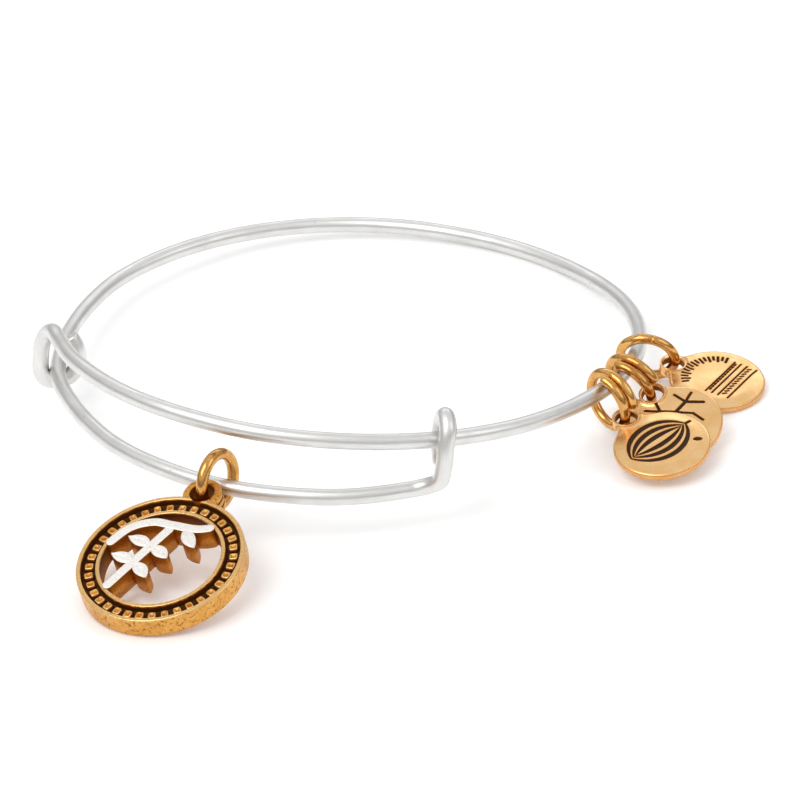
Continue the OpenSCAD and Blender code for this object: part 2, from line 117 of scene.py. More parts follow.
def heading(a):
    return V([math.cos(math.radians(a)), math.sin(math.radians(a)), 0.0])


def leaning(p, lean, low_side):
    k = heading(low_side + 90)
    c, s = math.cos(math.radians(lean)), math.sin(math.radians(lean))
    return p * c + np.cross(k, p) * s + k * (k @ p) * (1 - c)


def walked(points):
    """Length along a line at each of its points."""
    return np.concatenate([[0], np.cumsum(np.linalg.norm(np.diff(points, axis=0), axis=1))])


def aims_of(points):
    """Direction of a line at each of its points."""
    last = len(points) - 1
    return V([unit(points[min(i + 1, last)] - points[max(i - 1, 0)]) for i in range(last + 1)])


def smooth_step(x, lo, hi):
    t = np.clip((x - lo) / (hi - lo), 0, 1)
    return t * t * (3 - 2 * t)


# Course of the wire: angle, radius and height, smoothed between its rows
course = V(
    [[a, HOOP_R * LOOPED_SHARE + out * LOOP_STEP,
      STRAND_RISE * (FIRST_LOW + up * (FIRST_HIGH - FIRST_LOW)) + over * LOOP_STEP]
     for a, out, up, over in FIRST_LOOP]
    + [[a, HOOP_R * share, STRAND_RISE * rise] for a, share, rise in COURSE]
    + [[a, HOOP_R * HOOKED_SHARE + out * LOOP_STEP, STRAND_RISE * rise + over * LOOP_STEP]
       for a, out, rise, over in LAST_HOOK])
steps = np.diff(course, axis=0)
spans = np.sqrt((np.radians(steps[:, 0]) * (course[1:, 1] + course[:-1, 1]) / 2) ** 2
                + steps[:, 1] ** 2 + steps[:, 2] ** 2)
slopes = np.zeros_like(course)
slopes[0], slopes[-1] = steps[0] / spans[0], steps[-1] / spans[-1]
before, after = spans[:-1, None], spans[1:, None]
slopes[1:-1] = (steps[:-1] * after / before + steps[1:] * before / after) / (before + after)


def eased(i, u):
    """Point of the course at the share u of its span i."""
    h = spans[i]
    return (course[i] * (1 + 2 * u) * (1 - u) ** 2 + slopes[i] * h * u * (1 - u) ** 2
            + course[i + 1] * u * u * (3 - 2 * u) + slopes[i + 1] * h * u * u * (u - 1))


def leaned(s):
    """The point with angle, radius and height s, on the leaning hoop."""
    a = math.radians(s[0])
    p = V([s[1] * math.cos(a), s[1] * math.sin(a), s[2]])
    return leaning(turned(p, HOOP_TURN), HOOP_LEAN, HOOP_LOW_SIDE)


route = []
for i, span in enumerate(spans):
    count = max(2, round(span / COURSE_STEP))
    route += [eased(i, j / count) for j in range(count)]
route.append(course[-1])
route = V(route)
wire_points = V([leaned(s) for s in route])
hoop_lift = WIRE_D / 2 - wire_points[:, 2].min()
wire_points[:, 2] += hoop_lift


def wire_at(a):
    """Middle of the wire at an angle of its course."""
    near = route[np.abs(route[:, 0] - a) < WINDOW]
    near = near[np.argsort(near[:, 0])]
    r, z = np.interp(a, near[:, 0], near[:, 1]), np.interp(a, near[:, 0], near[:, 2])
    return leaned((a, r, z)) + V([0, 0, hoop_lift])


# Places of the rings, the charm and the tags
def reach_in(r, ring_wire):
    """From a ring's middle to the middle of the hoop's wire that it hangs from."""
    return r - (ring_wire + WIRE_D) / 2 - RING_GAP


def ring_frame(hole, on_wire, hint, r, ring_wire):
    """Direction from the hole to the ring's middle, and the ring's axis."""
    towards = on_wire - hole
    far = np.linalg.norm(towards)
    towards = towards / far
    axis = square_to(V(hint), towards)
    share = (far * far + r * r - reach_in(r, ring_wire) ** 2) / (2 * far * r)
    swing = math.acos(min(1, share))
    return towards * math.cos(swing) + np.cross(axis, towards) * math.sin(swing), axis


charm_heading, charm_out, charm_wire_angle = -120, -125, -110.7
charm_reach = RIM_R + BAIL_OUT
charm_on_wire = wire_at(charm_wire_angle)
charm_hole = charm_on_wire + heading(charm_out) * (WIRE_D / 2 + BAIL_R + BAIL_CLEARANCE)
charm_span = charm_reach + RIM_R - CHARM_EDGE
charm_tilt = math.asin(charm_hole[2] / math.hypot(charm_span, HALF_T)) - math.atan(HALF_T / charm_span)

# wire: angle on the wire's course; out: heading away from it; turn, tilt and low: how the tag lies;
# beyond: its hole's middle past its edge; share: how far its ring is pulled; hint: its ring's axis
TAGS = {
    "leaf": dict(wire=-388.5, out=-50, turn=-54, tilt=11, low=-105, beyond=0.5, share=0.85,
                 ring_r=WOUND_RING_R, hint=(-0.74, -0.66, -0.13)),
    "branch": dict(wire=-380, out=-38, turn=-68, tilt=20, low=-112, beyond=-0.3, share=0.86,
                   ring_r=WOUND_RING_R, hint=(-0.6, -0.74, -0.3)),
    "band": dict(wire=-368.5, out=-5, turn=-30, tilt=9.5, low=-52, beyond=0.1, share=1,
                 ring_r=PLAIN_RING_R, hint=(-0.25, -0.91, -0.33)),
}


def as_it_lies(tag, p):
    """A direction or a point of a flat tag, turned and leant as the tag lies."""
    return leaning(turned(V(p, float), tag["turn"]), tag["tilt"], tag["low"])


for tag in TAGS.values():
    tag["under"] = (TAG_R - TAG_EDGE) * math.sin(math.radians(tag["tilt"]))
# The leaf tag lies over the branch tag
leaf_tilt, branch_tilt = math.radians(TAGS["leaf"]["tilt"]), math.radians(TAGS["branch"]["tilt"])
TAGS["leaf"]["under"] = (TAGS["branch"]["under"] + TAG_T / math.cos(branch_tilt) + STACK_GAP
                         - TAG_R * math.sin(leaf_tilt))
for tag in TAGS.values():
    on_wire = wire_at(tag["wire"])
    reach = TAG_R + tag["beyond"]
    half_collar = as_it_lies(tag, (0, 0, COLLAR_H / 2))
    height = tag["under"] - as_it_lies(tag, (reach, 0, 0))[2] + half_collar[2]
    far = tag["ring_r"] + tag["share"] * reach_in(tag["ring_r"], TAG_RING_WIRE)
    out = math.sqrt(far ** 2 - (on_wire[2] - height) ** 2) * heading(tag["out"])
    hole = V([on_wire[0] + out[0], on_wire[1] + out[1], height])
    x, z = as_it_lies(tag, (1, 0, 0)), as_it_lies(tag, (0, 0, 1))
    tag.update(hole=hole, reach=reach, x=x, z=z, y=np.cross(z, x), foot=hole - half_collar)
    tag["inward"], tag["axis"] = ring_frame(hole, on_wire, tag["hint"], tag["ring_r"], TAG_RING_WIRE)


class Build:
    """Collects vertices, faces and per-vertex values for one mesh, in millimetres.

    dark is 1 in a recess full of antiquing, 0 on bare metal and below 0 where that is worn; some
    values also stand for painted shade, and those below 0 for a painted highlight as well."""

    def __init__(self):
        self.verts, self.faces, self.dark, self.uv, self.kind = [], [], [], [], []
        self.count = 0

    def grid(self, points, dark, wrap_u=False, wrap_v=False, uv=None, flip=False, gone=None):
        """points is rows x columns x 3. Faces join neighbours, also around where wrapped.
        A face whose points are all marked in gone is left out."""
        rows, cols = points.shape[:2]
        index = np.arange(rows * cols).reshape(rows, cols) + self.count
        down = np.concatenate([index, index[:1]]) if wrap_u else index
        both = np.concatenate([down, down[:, :1]], axis=1) if wrap_v else down
        a, b, c, d = both[:-1, :-1], both[1:, :-1], both[1:, 1:], both[:-1, 1:]
        quads = np.stack([a, b, c, d] if not flip else [a, d, c, b], axis=-1).reshape(-1, 4)
        if gone is not None:
            quads = quads[~gone.reshape(-1)[quads - self.count].all(axis=1)]
        self.faces += quads.tolist()
        self.kind += [0] * len(quads)
        self.verts.append(points.reshape(-1, 3))
        self.dark.append(np.broadcast_to(dark, (rows, cols)).reshape(-1))
        self.uv.append(np.zeros((rows * cols, 2)) if uv is None else uv.reshape(-1, 2))
        self.count += rows * cols
        return index

    def cap(self, loop, flip=False):
        self.faces.append(list(loop)[::-1] if flip else list(loop))
        self.kind.append(0)

    def fan(self, loop, flip=False):
        """Closes a small round opening with triangles that meet in its middle."""
        self.verts.append(np.concatenate(self.verts)[loop].mean(axis=0, keepdims=True))
        self.dark.append(np.concatenate(self.dark)[loop[:1]])
        self.uv.append(np.zeros((1, 2)))
        ring = loop.tolist()
        pairs = list(zip(ring, ring[1:] + ring[:1]))
        self.faces += [[b, a, self.count] if flip else [a, b, self.count] for a, b in pairs]
        self.kind += [0] * len(pairs)
        self.count += 1

    def object(self, name, node, materials, frame_at=None):
        """frame_at is (origin, x, y, z): where the local millimetres lie in the part."""
        verts = np.concatenate(self.verts)
        if frame_at is not None:
            origin, x, y, z = frame_at
            verts = origin + verts[:, :1] * x + verts[:, 1:2] * y + verts[:, 2:3] * z
        mesh = bpy.data.meshes.new(name)
        mesh.from_pydata((verts * MM).tolist(), [], self.faces)
        mesh.polygons.foreach_set("use_smooth", [len(face) == 4 for face in self.faces])
        mesh.polygons.foreach_set("material_index", self.kind)
        values = mesh.attributes.new("dark", "FLOAT", "POINT")
        values.data.foreach_set("value", np.concatenate(self.dark).astype(np.float32))
        uv = np.concatenate(self.uv)
        corners = np.zeros(len(mesh.loops), np.int32)
        mesh.loops.foreach_get("vertex_index", corners)
        layer = mesh.uv_layers.new(name="UVMap")
        layer.data.foreach_set("uv", uv[corners].astype(np.float32).reshape(-1))
        for material in materials:
            mesh.materials.append(material)
        mesh.validate()
        piece = bpy.data.objects.new(name, mesh)
        bpy.context.scene.collection.objects.link(piece)
        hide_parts(node)
        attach(piece, "root")
        return piece


END_STEPS = (0.45, 0.75, 0.95)
CORNER_R, CORNER_STEPS, CORNER_REACH = 0.1, 4, 0.45


def tube(build, points, r, hint, bevel, sides=28, swell=None):
    """Round bar along points, with bevelled ends. swell scales the radius at each point."""
    points = V(points, float)
    last = len(points) - 1
    aims = aims_of(points)
    walk = walked(points)
    bend = 2 * bevel * r
    spots = [(0, -bend * s, math.sqrt(1 - s * s)) for s in reversed(END_STEPS)]
    spots += [(i, 0, 1) for i in range(last + 1)]
    spots += [(last, bend * s, math.sqrt(1 - s * s)) for s in END_STEPS]
    turn = np.linspace(0, 2 * np.pi, sides, endpoint=False)
    side = square_to(V(hint, float), aims[0])
    rings, lengths = [], []
    for i, shift, share in spots:
        side = square_to(side, aims[i])
        over = np.cross(aims[i], side)
        size = (r - bend * (1 - share)) * (1 if swell is None else swell[i])
        rings.append(points[i] + aims[i] * shift
                     + (np.outer(np.cos(turn), side) + np.outer(np.sin(turn), over)) * size)
        lengths.append(walk[i] + shift)
    uv = np.stack(np.broadcast_arrays(V(lengths)[:, None], turn * r), axis=-1)
    index = build.grid(V(rings), 0.0, wrap_v=True, uv=uv, flip=True)
    build.cap(index[0])
    build.cap(index[-1], flip=True)


def rounded(corners, closed=True):
    """Corner list of a profile with every corner rounded; a corner may give its own radius."""
    pts = [V(c[:2], float) for c in corners]
    radii = [c[2] if len(c) > 2 else CORNER_R for c in corners]
    out = []
    n = len(pts)
    for i in range(n):
        if radii[i] == 0 or (not closed and i in (0, n - 1)):
            out.append(pts[i])
            continue
        a, b = pts[i - 1] - pts[i], pts[(i + 1) % n] - pts[i]
        reach = min(radii[i], np.linalg.norm(a) * CORNER_REACH, np.linalg.norm(b) * CORNER_REACH)
        p, q = pts[i] + unit(a) * reach, pts[i] + unit(b) * reach
        for k in range(CORNER_STEPS + 1):
            t = k / CORNER_STEPS
            out.append(p * (1 - t) ** 2 + pts[i] * 2 * t * (1 - t) + q * t * t)
    return V(out)


def dense(profile, step, closed=True):
    """The profile with points no further apart than step."""
    out = []
    n = len(profile)
    for i in range(n if closed else n - 1):
        a, b = profile[i], profile[(i + 1) % n]
        count = max(1, int(np.ceil(np.linalg.norm(b - a) / step)))
        out += [a + (b - a) * k / count for k in range(count)]
    if not closed:
        out.append(profile[-1])
    return V(out)


def lathe(profile, segments, centre=(0, 0), start=0.0):
    """Profile of (r, z) turned about an upright line through centre."""
    a = start + np.linspace(0, 2 * np.pi, segments, endpoint=False)
    r, z = profile[:, :1], profile[:, 1:]
    return np.stack([centre[0] + r * np.cos(a), centre[1] + r * np.sin(a),
                     np.broadcast_to(z, (len(profile), segments))], axis=-1)


def level_rings(radii, height, segments):
    """Rings of points at one height."""
    return lathe(np.stack([radii, np.full(len(radii), height)], axis=-1), segments)


def push_out(points, centre, radius):
    """Moves points that lie inside an upright hole to its wall."""
    flat = points[..., :2] - V(centre)
    far = np.linalg.norm(flat, axis=-1, keepdims=True)
    at_wall = V(centre) + flat / np.maximum(far, 1e-6) * radius
    points[..., :2] = np.where(far < radius, at_wall, points[..., :2])
    return points


def spline(points, step):
    """Smooth line through points."""
    p = V(points, float)
    p = np.concatenate([[2 * p[0] - p[1]], p, [2 * p[-1] - p[-2]]])
    out = []
    for i in range(1, len(p) - 2):
        count = max(2, int(np.linalg.norm(p[i + 1] - p[i]) / step))
        for k in range(count):
            t = k / count
            out.append(0.5 * (2 * p[i] + (p[i + 1] - p[i - 1]) * t
                              + (2 * p[i - 1] - 5 * p[i] + 4 * p[i + 1] - p[i + 2]) * t * t
                              + (3 * p[i] - p[i - 1] - 3 * p[i + 1] + p[i + 2]) * t ** 3))
    out.append(p[-2])
    return V(out)


# Materials
def grey(v):
    return (v, v, v)


class Shader:
    """The nodes of one material or of the world."""

    def __init__(self, owner):
        self.owner = owner
        owner.use_nodes = True
        self.nodes, self.links = owner.node_tree.nodes, owner.node_tree.links
        self.nodes.clear()

    def plug(self, socket, value):
        """Sets a socket to a number or a colour, or links it to another socket."""
        if isinstance(value, (int, float)):
            socket.default_value = value
        elif isinstance(value, tuple):
            socket.default_value = (*value, 1)
        else:
            self.links.new(value, socket)

    def node(self, kind, **values):
        """A new node, with values for its sockets or its settings."""
        n = self.nodes.new(kind)
        for key, value in values.items():
            if key in n.inputs:
                n.inputs[key].default_value = value
            else:
                setattr(n, key, value)
        return n

    def coordinates(self, kind):
        return self.nodes.new("ShaderNodeTexCoord").outputs[kind]

    def stretched(self, coords, scale):
        n = self.nodes.new("ShaderNodeMapping")
        n.inputs["Scale"].default_value = scale
        self.links.new(coords, n.inputs["Vector"])
        return n.outputs["Vector"]

    def noise(self, coords, scale, detail, rough):
        n = self.node("ShaderNodeTexNoise", Scale=scale, Detail=detail, Roughness=rough)
        self.links.new(coords, n.inputs["Vector"])
        return n.outputs["Fac"]

    def ramp(self, source, *stops):
        n = self.nodes.new("ShaderNodeValToRGB")
        while len(n.color_ramp.elements) < len(stops):
            n.color_ramp.elements.new(0.5)
        for element, (place, colour) in zip(n.color_ramp.elements, stops):
            element.position = place
            element.color = (*colour, 1)
        self.links.new(source, n.inputs["Fac"])
        return n.outputs["Color"]

    def maths(self, operation, *values, clamp=False):
        n = self.node("ShaderNodeMath", operation=operation, use_clamp=clamp)
        for socket, value in zip(n.inputs, values):
            self.plug(socket, value)
        return n.outputs[0]

    def mixed(self, kind, factor, a, b):
        n = self.node("ShaderNodeMix", data_type="RGBA", blend_type=kind)
        for socket, value in ((n.inputs[0], factor), (n.inputs[6], a), (n.inputs[7], b)):
            self.plug(socket, value)
        return n.outputs[2]

    def bumps(self, *layers):
        """Bump from (height socket, strength, distance in metres), one after the other."""
        normal = None
        for height, strength, distance in layers:
            b = self.node("ShaderNodeBump", Strength=strength, Distance=distance)
            self.links.new(height, b.inputs["Height"])
            if normal is not None:
                self.links.new(normal, b.inputs["Normal"])
            normal = b.outputs["Normal"]
        return normal

    def surface(self, colour, rough, metal, normal=None, **extra):
        """Ends the tree with one surface shader and gives back its material."""
        shader = self.node("ShaderNodeBsdfPrincipled", **extra)
        for name, value in (("Base Color", colour), ("Roughness", rough), ("Metallic", metal)):
            self.plug(shader.inputs[name], value)
        if normal is not None:
            self.links.new(normal, shader.inputs["Normal"])
        out = self.nodes.new("ShaderNodeOutputMaterial")
        self.links.new(shader.outputs["BSDF"], out.inputs["Surface"])
        return self.owner


def silver_wire_material():
    """Satin silver wire: drawn streaks along its length, soft clouding and a few tiny pits."""
    s = Shader(bpy.data.materials.new("silver_wire"))
    place = s.coordinates("Object")
    streaks = s.noise(s.stretched(s.coordinates("UV"), (0.35, 7.0, 1)), 1.0, 4, 0.6)
    clouds = s.noise(place, 350, 3, 0.5)
    pits = s.noise(place, 1500, 2, 0.6)
    streaked = s.ramp(streaks, (0.3, (0.62, 0.615, 0.60)), (0.7, (0.82, 0.815, 0.80)))
    clouded = s.ramp(clouds, (0.3, (0.67, 0.665, 0.65)), (0.7, (0.83, 0.825, 0.81)))
    spots = s.ramp(pits, (0.2, grey(0.25)), (0.27, grey(1.0)))
    colour = s.mixed("MULTIPLY", 0.8, s.mixed("MIX", 0.5, streaked, clouded), spots)
    rough = s.ramp(clouds, (0.3, grey(0.42)), (0.75, grey(0.32)))
    normal = s.bumps((streaks, 0.25, 0.00003), (clouds, 0.2, 0.0001), (pits, 0.15, 0.00002))
    return s.surface(colour, rough, 1.0, normal)


def gold_material(name, light, deep, smooth, dull, mottle, pit, rubbed_highlight_tone,
                  dark_tone=(0.09, 0.027, 0.003)):
    """Plated gold whose recesses, marked in the mesh, hold a dark antiquing; the same mark also paints
    shade on undersides and walls, and below 0 a highlight on rubbed edges.

    smooth and dull are its range of roughness, mottle and pit how uneven and how pitted it is."""
    s = Shader(bpy.data.materials.new(name))
    place = s.coordinates("Object")
    patina_shade_and_sheen = s.node("ShaderNodeAttribute", attribute_name="dark").outputs["Fac"]
    clouds = s.noise(place, 420, 4, 0.6)
    grain = s.noise(place, 3200, 4, 0.65)
    fine = s.noise(place, 6500, 2, 0.5)
    gold = s.mixed("MIX", mottle, s.ramp(clouds, (0.3, deep), (0.68, light)),
                   s.ramp(grain, (0.35, deep), (0.6, light)))
    pits = s.ramp(grain, (0.36, grey(0.0)), (0.43, grey(1.0)))
    gold = s.mixed("MULTIPLY", pit, gold, s.mixed("MIX", pits, (0.28, 0.16, 0.07), (1, 1, 1)))
    edge = s.maths("MULTIPLY_ADD", fine, 0.3, patina_shade_and_sheen)
    # A middling mark browns the gold: antiquing in recesses, and painted shade on walls
    browned = s.ramp(edge, (0.2, grey(0.0)), (0.55, grey(1.0)))
    patina_and_shade = s.ramp(edge, (0.4, grey(0.0)), (0.95, grey(1.0)))
    # Below 0 the mark turns the gold to its lighter rubbed tone: wear, and a painted highlight
    worn = s.maths("MULTIPLY", patina_shade_and_sheen, -1.0, clamp=True)
    colour = s.mixed("MIX", worn, gold, rubbed_highlight_tone)
    colour = s.mixed("MIX", browned, colour, (0.58, 0.19, 0.01))
    colour = s.mixed("MIX", patina_and_shade, colour, dark_tone)
    rough = s.ramp(clouds, (0.3, grey(dull)), (0.7, grey(smooth)))
    rough = s.mixed("MIX", browned, rough, grey(0.55))
    rough = s.mixed("MIX", worn, rough, grey(0.16))
    metal = s.ramp(patina_and_shade, (0.0, grey(1.0)), (1.0, grey(0.35)))
    normal = s.bumps((clouds, 0.1, 0.0001), (grain, 0.04 + 0.58 * pit, 0.00004),
                     (fine, 0.12, 0.00001))
    return s.surface(colour, rough, metal, normal, **{"Specular IOR Level": 0.15})


def frosted_material():
    """White frosted silver of the sprig's top, with a fine tooth and a few specks."""
    s = Shader(bpy.data.materials.new("frosted_silver"))
    place = s.coordinates("Object")
    tooth = s.noise(place, 5200, 3, 0.6)
    specks = s.noise(place, 3300, 3, 0.6)
    white = s.ramp(tooth, (0.3, (0.79, 0.76, 0.72)), (0.65, (0.96, 0.93, 0.89)))
    specked = s.ramp(specks, (0.3, grey(0.6)), (0.36, grey(1.0)))
    colour = s.mixed("MULTIPLY", 1.0, white, specked)
    return s.surface(colour, 0.48, 0.75, s.bumps((tooth, 0.5, 0.00003)))


SILVER = silver_wire_material()
POLISHED = gold_material("polished_gold", light=(0.83, 0.47, 0.15), deep=(0.46, 0.19, 0.04),
                         smooth=0.1, dull=0.2, mottle=0.3, pit=0.2, rubbed_highlight_tone=(0.92, 0.60, 0.26))
SATIN = gold_material("satin_gold", light=(0.95, 0.63, 0.31), deep=(0.85, 0.50, 0.20),
                      smooth=0.22, dull=0.3, mottle=0.1, pit=0.04, rubbed_highlight_tone=(1.0, 0.78, 0.48),
                      dark_tone=(0.045, 0.022, 0.009))
ANTIQUE = gold_material("antique_gold", light=(0.80, 0.44, 0.12), deep=(0.54, 0.24, 0.04),
                        smooth=0.3, dull=0.46, mottle=0.5, pit=0.85, rubbed_highlight_tone=(0.96, 0.66, 0.32))
FROSTED = frosted_material()

# Wire: smooth, a little uneven, and a trifle thicker where its loops are bent. The bends end at
# these lengths from the wire's two ends
FIRST_BEND, LAST_BEND, BEND_SWELL = (9, 20), (10, 24), 0.055
wire = Build()
walk = walked(wire_points)
at_loops = (smooth_step(-walk, -FIRST_BEND[1], -FIRST_BEND[0])
            + smooth_step(walk, walk[-1] - LAST_BEND[1], walk[-1] - LAST_BEND[0]))
swell = 1 + 0.008 * np.sin(walk * 0.31 + 1) + 0.006 * np.sin(walk * 1.07) + BEND_SWELL * at_loops
tube(wire, wire_points, WIRE_D / 2, (1, 1, 0), bevel=0.16, sides=32, swell=swell)
wire.object("wire_smooth", "bangle_wire", [SILVER])


# Jump rings
def cut_ring(name, node_name, hole, inward, axis, r, ring_wire, cut_at):
    """Ring bent from a bar, with a fine seam at the angle cut_at."""
    across = np.cross(axis, inward)
    middle = hole + inward * r
    count, bent = 120, 356
    angles = np.radians(cut_at + np.linspace(0, bent, count))
    points = [middle + (inward * math.cos(a) + across * math.sin(a)) * r for a in angles]
    swell = 1 + 0.012 * np.sin(np.linspace(0, 17, count))
    ring = Build()
    tube(ring, points, ring_wire / 2, axis, bevel=0.2, swell=swell)
    ring.object(name, node_name, [POLISHED])


CHARM_RING_HINT = (0.818, -0.573, 0.047)
inward, axis = ring_frame(charm_hole, charm_on_wire, CHARM_RING_HINT, CHARM_RING_R, CHARM_RING_WIRE)
cut_ring("charm_ring_smooth", "charm_jump_ring", charm_hole, inward, axis,
         CHARM_RING_R, CHARM_RING_WIRE, cut_at=178)
band = TAGS["band"]
cut_ring("ring_3_smooth", "tag_jump_ring_3", band["hole"], band["inward"], band["axis"],
         PLAIN_RING_R, TAG_RING_WIRE, cut_at=284)

# The wound rings: angle at the middle of the winding, and the angle that lies level with the hole
COIL_MIDDLE, COIL_LEVEL, COIL_POINTS = 108, 80, 150
coil_angles = COIL_MIDDLE + (np.linspace(0, 1, COIL_POINTS) - 0.5) * 360 * COIL_TURNS
for number, name in ((1, "leaf"), (2, "branch")):
    tag = TAGS[name]
    across = np.cross(tag["axis"], tag["inward"])
    middle = tag["hole"] + tag["inward"] * WOUND_RING_R
    pitch = TAG_RING_WIRE + LAP_GAP
    points = []
    for a in coil_angles:
        out = across * math.sin(math.radians(a)) - tag["inward"] * math.cos(math.radians(a))
        points.append(middle + out * WOUND_RING_R - tag["axis"] * pitch * (a - COIL_LEVEL) / 360)
    ring = Build()
    tube(ring, points, TAG_RING_WIRE / 2, tag["axis"], bevel=0.25)
    ring.object(f"ring_{number}_smooth", f"tag_jump_ring_{number}", [POLISHED])

# Charm: darkness of its faces, below 0 where they are worn; the lips and studs are also lightened as a
# painted highlight, and the underside, the opening's wall and the sprig's walls darkened as painted
# shade
LIP_RUBBED_HIGHLIGHT, STUD_RUBBED_HIGHLIGHT, STUD_FOOT_DARK = -0.5, (-0.3, -0.6), 0.85
UNDERSIDE_SHADE, HOLE_DARK, BAIL_HOLE_DARK, SPRIG_WALL_DARK = 0.25, 0.35, 0.55, 0.26
RIM_TURNS, BAIL_TURNS, COLLAR_TURNS, RIDGES = 480, 96, 96, 3
STUD_LONG, STUD_WIDE, STUD_POINTS, STUD_SQUARENESS = 0.66, 0.57, 28, 0.42
SPRIG_FOOT, BRANCH_H, STEM_H, LEAF_H, LEAF_STEP, SPRIG_STEP = 0.1, 0.1, 0.085, 0.04, 0.004, 0.08


def add_rim(build):
    """Turned rim with two lips and a channel, open in its middle."""
    corners = [(OPENING_R, -HALF_T, 0.06), (RIM_R - CHARM_EDGE, -HALF_T, 0.05),
               (RIM_R, CHARM_EDGE - HALF_T, 0.12), (RIM_R, HALF_T - 0.1), (RIM_R - 0.1, HALF_T, 0.08),
               (CHANNEL_OUT, HALF_T), (CHANNEL_OUT - 0.05, CHANNEL_FLOOR, 0.12),
               (CHANNEL_IN + 0.05, CHANNEL_FLOOR, 0.12), (CHANNEL_IN, HALF_T), (OPENING_R, HALF_T)]
    profile = dense(rounded(corners), 0.12)
    points = lathe(profile, RIM_TURNS, start=math.pi / RIM_TURNS)
    points = push_out(points, (charm_reach, 0), HOLE_R)
    r, z = profile[:, 0], profile[:, 1]
    in_channel = (r > CHANNEL_IN + 0.01) & (r < CHANNEL_OUT - 0.01) & (z > 0)
    dark = np.where(in_channel, smooth_step(HALF_T - z, 0.06, 0.3), 0.0)
    # The opening's inner wall is darkened, most towards its top: antiquing and painted shade
    in_opening = (r < OPENING_R + 0.08) & (z < HALF_T - 0.1)
    dark = np.where(in_opening, 0.5 + 0.3 * smooth_step(z, -0.6 * HALF_T, HALF_T), dark)
    # Painted shade on the charm's underside
    dark = np.where(z < -HALF_T + 0.02, UNDERSIDE_SHADE, dark)
    # The lips' tops are lightened: wear, and a painted highlight
    on_lip = (z > HALF_T - 0.12) & ((r > CHANNEL_OUT - 0.02) | (r < CHANNEL_IN + 0.02))
    dark = np.where(on_lip, LIP_RUBBED_HIGHLIGHT, dark)
    at_hole = np.linalg.norm(points[..., :2] - V([charm_reach, 0]), axis=-1) < HOLE_R + 0.02
    dark = np.where(at_hole, HOLE_DARK, dark[:, None])
    build.grid(points, dark, wrap_u=True, wrap_v=True, flip=True)


# Levels of a stud from its foot to its dimple: share of its width and of its height
STUD_LEVELS = [(1.08, 0.0), (1.02, 0.35), (0.97, 0.7), (0.88, 0.93), (0.74, 1.02), (0.56, 0.98),
               (0.36, 0.84), (0.1, 0.8)]


def add_stud(build, centre, angle, long, wide, foot, top, dark_top):
    """Stud with rounded corners and a softly dimpled top."""
    turn = np.linspace(0, 2 * np.pi, STUD_POINTS, endpoint=False)
    along, across = np.cos(turn), np.sin(turn)
    ring = np.stack([np.sign(along) * np.abs(along) ** STUD_SQUARENESS * long / 2,
                     np.sign(across) * np.abs(across) ** STUD_SQUARENESS * wide / 2], axis=-1)
    c, s = math.cos(angle), math.sin(angle)
    rows = []
    for share, rise in STUD_LEVELS:
        flat = ring * share
        rows.append(np.stack([centre[0] + flat[:, 0] * c - flat[:, 1] * s,
                              centre[1] + flat[:, 0] * s + flat[:, 1] * c,
                              np.full(len(turn), foot + (top - foot) * rise)], axis=-1))
    # The stud's foot holds antiquing, its rim is lightened by wear and a painted highlight, its dimple
    # holds a little antiquing
    dimple = dark_top + 0.1
    shade = V([STUD_FOOT_DARK, STUD_FOOT_DARK * 0.8, STUD_FOOT_DARK * 0.4, *STUD_RUBBED_HIGHLIGHT,
               dark_top, dimple, dimple])
    index = build.grid(V(rows), shade[:, None], wrap_v=True, flip=True)
    build.cap(index[0], flip=True)
    build.cap(index[-1])


def add_studs(build):
    """Ring of studs in the channel, no two quite alike."""
    for i in range(STUD_COUNT):
        a = 2 * math.pi * i / STUD_COUNT
        r_stud = CHANNEL_IN + CHANNEL_W * 0.5 + rng.uniform(-0.03, 0.03)
        angle = a + rng.uniform(-0.06, 0.06)
        long = CHANNEL_W * STUD_LONG * rng.uniform(0.95, 1.04)
        wide = CHANNEL_W * STUD_WIDE * rng.uniform(0.94, 1.05)
        top = CHANNEL_FLOOR + STUD_H * rng.uniform(0.92, 1.05)
        add_stud(build, (r_stud * math.cos(a), r_stud * math.sin(a)), angle, long, wide,
                 CHANNEL_FLOOR - 0.02, top, rng.uniform(0.0, 0.3))


def add_bail(build):
    """Bail with ridges, kept out of the rim's inside."""
    ridge, soft = CHARM_T / RIDGES, 0.14
    corners = [(HOLE_R, -HALF_T), (BAIL_R - 0.1, -HALF_T, 0.15)]
    for k in range(RIDGES):
        z0 = -HALF_T + CHARM_T * k / RIDGES
        corners += [(BAIL_R, z0 + soft, 0.12), (BAIL_R, z0 + ridge - soft, 0.12)]
        if k < RIDGES - 1:
            corners.append((BAIL_R - BAIL_GROOVE, z0 + ridge, 0.05))
    corners += [(BAIL_R - 0.1, HALF_T, 0.15), (HOLE_R, HALF_T)]
    profile = dense(rounded(corners), 0.1)
    points = lathe(profile, BAIL_TURNS, (charm_reach, 0))
    flat = points[..., :2]
    far = np.linalg.norm(flat, axis=-1, keepdims=True)
    keep = RIM_R - OUTER_LIP * 0.45
    points[..., :2] = np.where(far < keep, flat / far * keep, flat)
    r, from_middle = profile[:, 0], np.abs(profile[:, 1])
    groove = np.abs(((profile[:, 1] + HALF_T) / CHARM_T * RIDGES + 0.5) % 1 - 0.5)
    dark = np.where(r > BAIL_R - 0.3, 1 - smooth_step(groove, 0.05, 0.2), 0.0)
    dark = np.where(from_middle > HALF_T - 0.12, 0.05, dark)
    dark = np.where((r < HOLE_R + 0.05) & (from_middle < HALF_T - 0.15), BAIL_HOLE_DARK, dark)
    build.grid(points, dark[:, None], wrap_u=True, wrap_v=True, flip=True)


